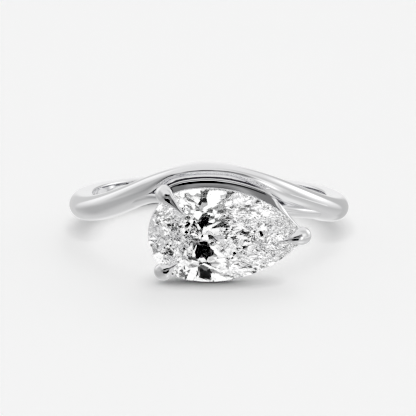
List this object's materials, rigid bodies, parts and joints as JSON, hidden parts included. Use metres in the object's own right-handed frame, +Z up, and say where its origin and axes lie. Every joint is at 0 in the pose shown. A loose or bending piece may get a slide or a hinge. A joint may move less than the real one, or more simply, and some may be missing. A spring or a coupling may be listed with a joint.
{
  "type": "engagement ring",
  "caption": "Polished finger ring lying on its side, with a band that sweeps up over a pear-cut clear stone held by pointed claws.",
  "frame": {"origin": "centre of the bounding box at the height of the table that the ring lies on", "axes": "+Z up from the table, -Y towards the side the stone faces, +X towards the stone's point"},
  "size_m": [0.0198, 0.0232, 0.0071],
  "materials": {
    "white_metal": "mirror-polished white gold",
    "clear_stone": "clear, faceted and polished"
  },
  "bodies": {
    "root": {"band_with_claws": "white_metal", "pear_stone": "clear_stone"}
  },
  "joints": []
}
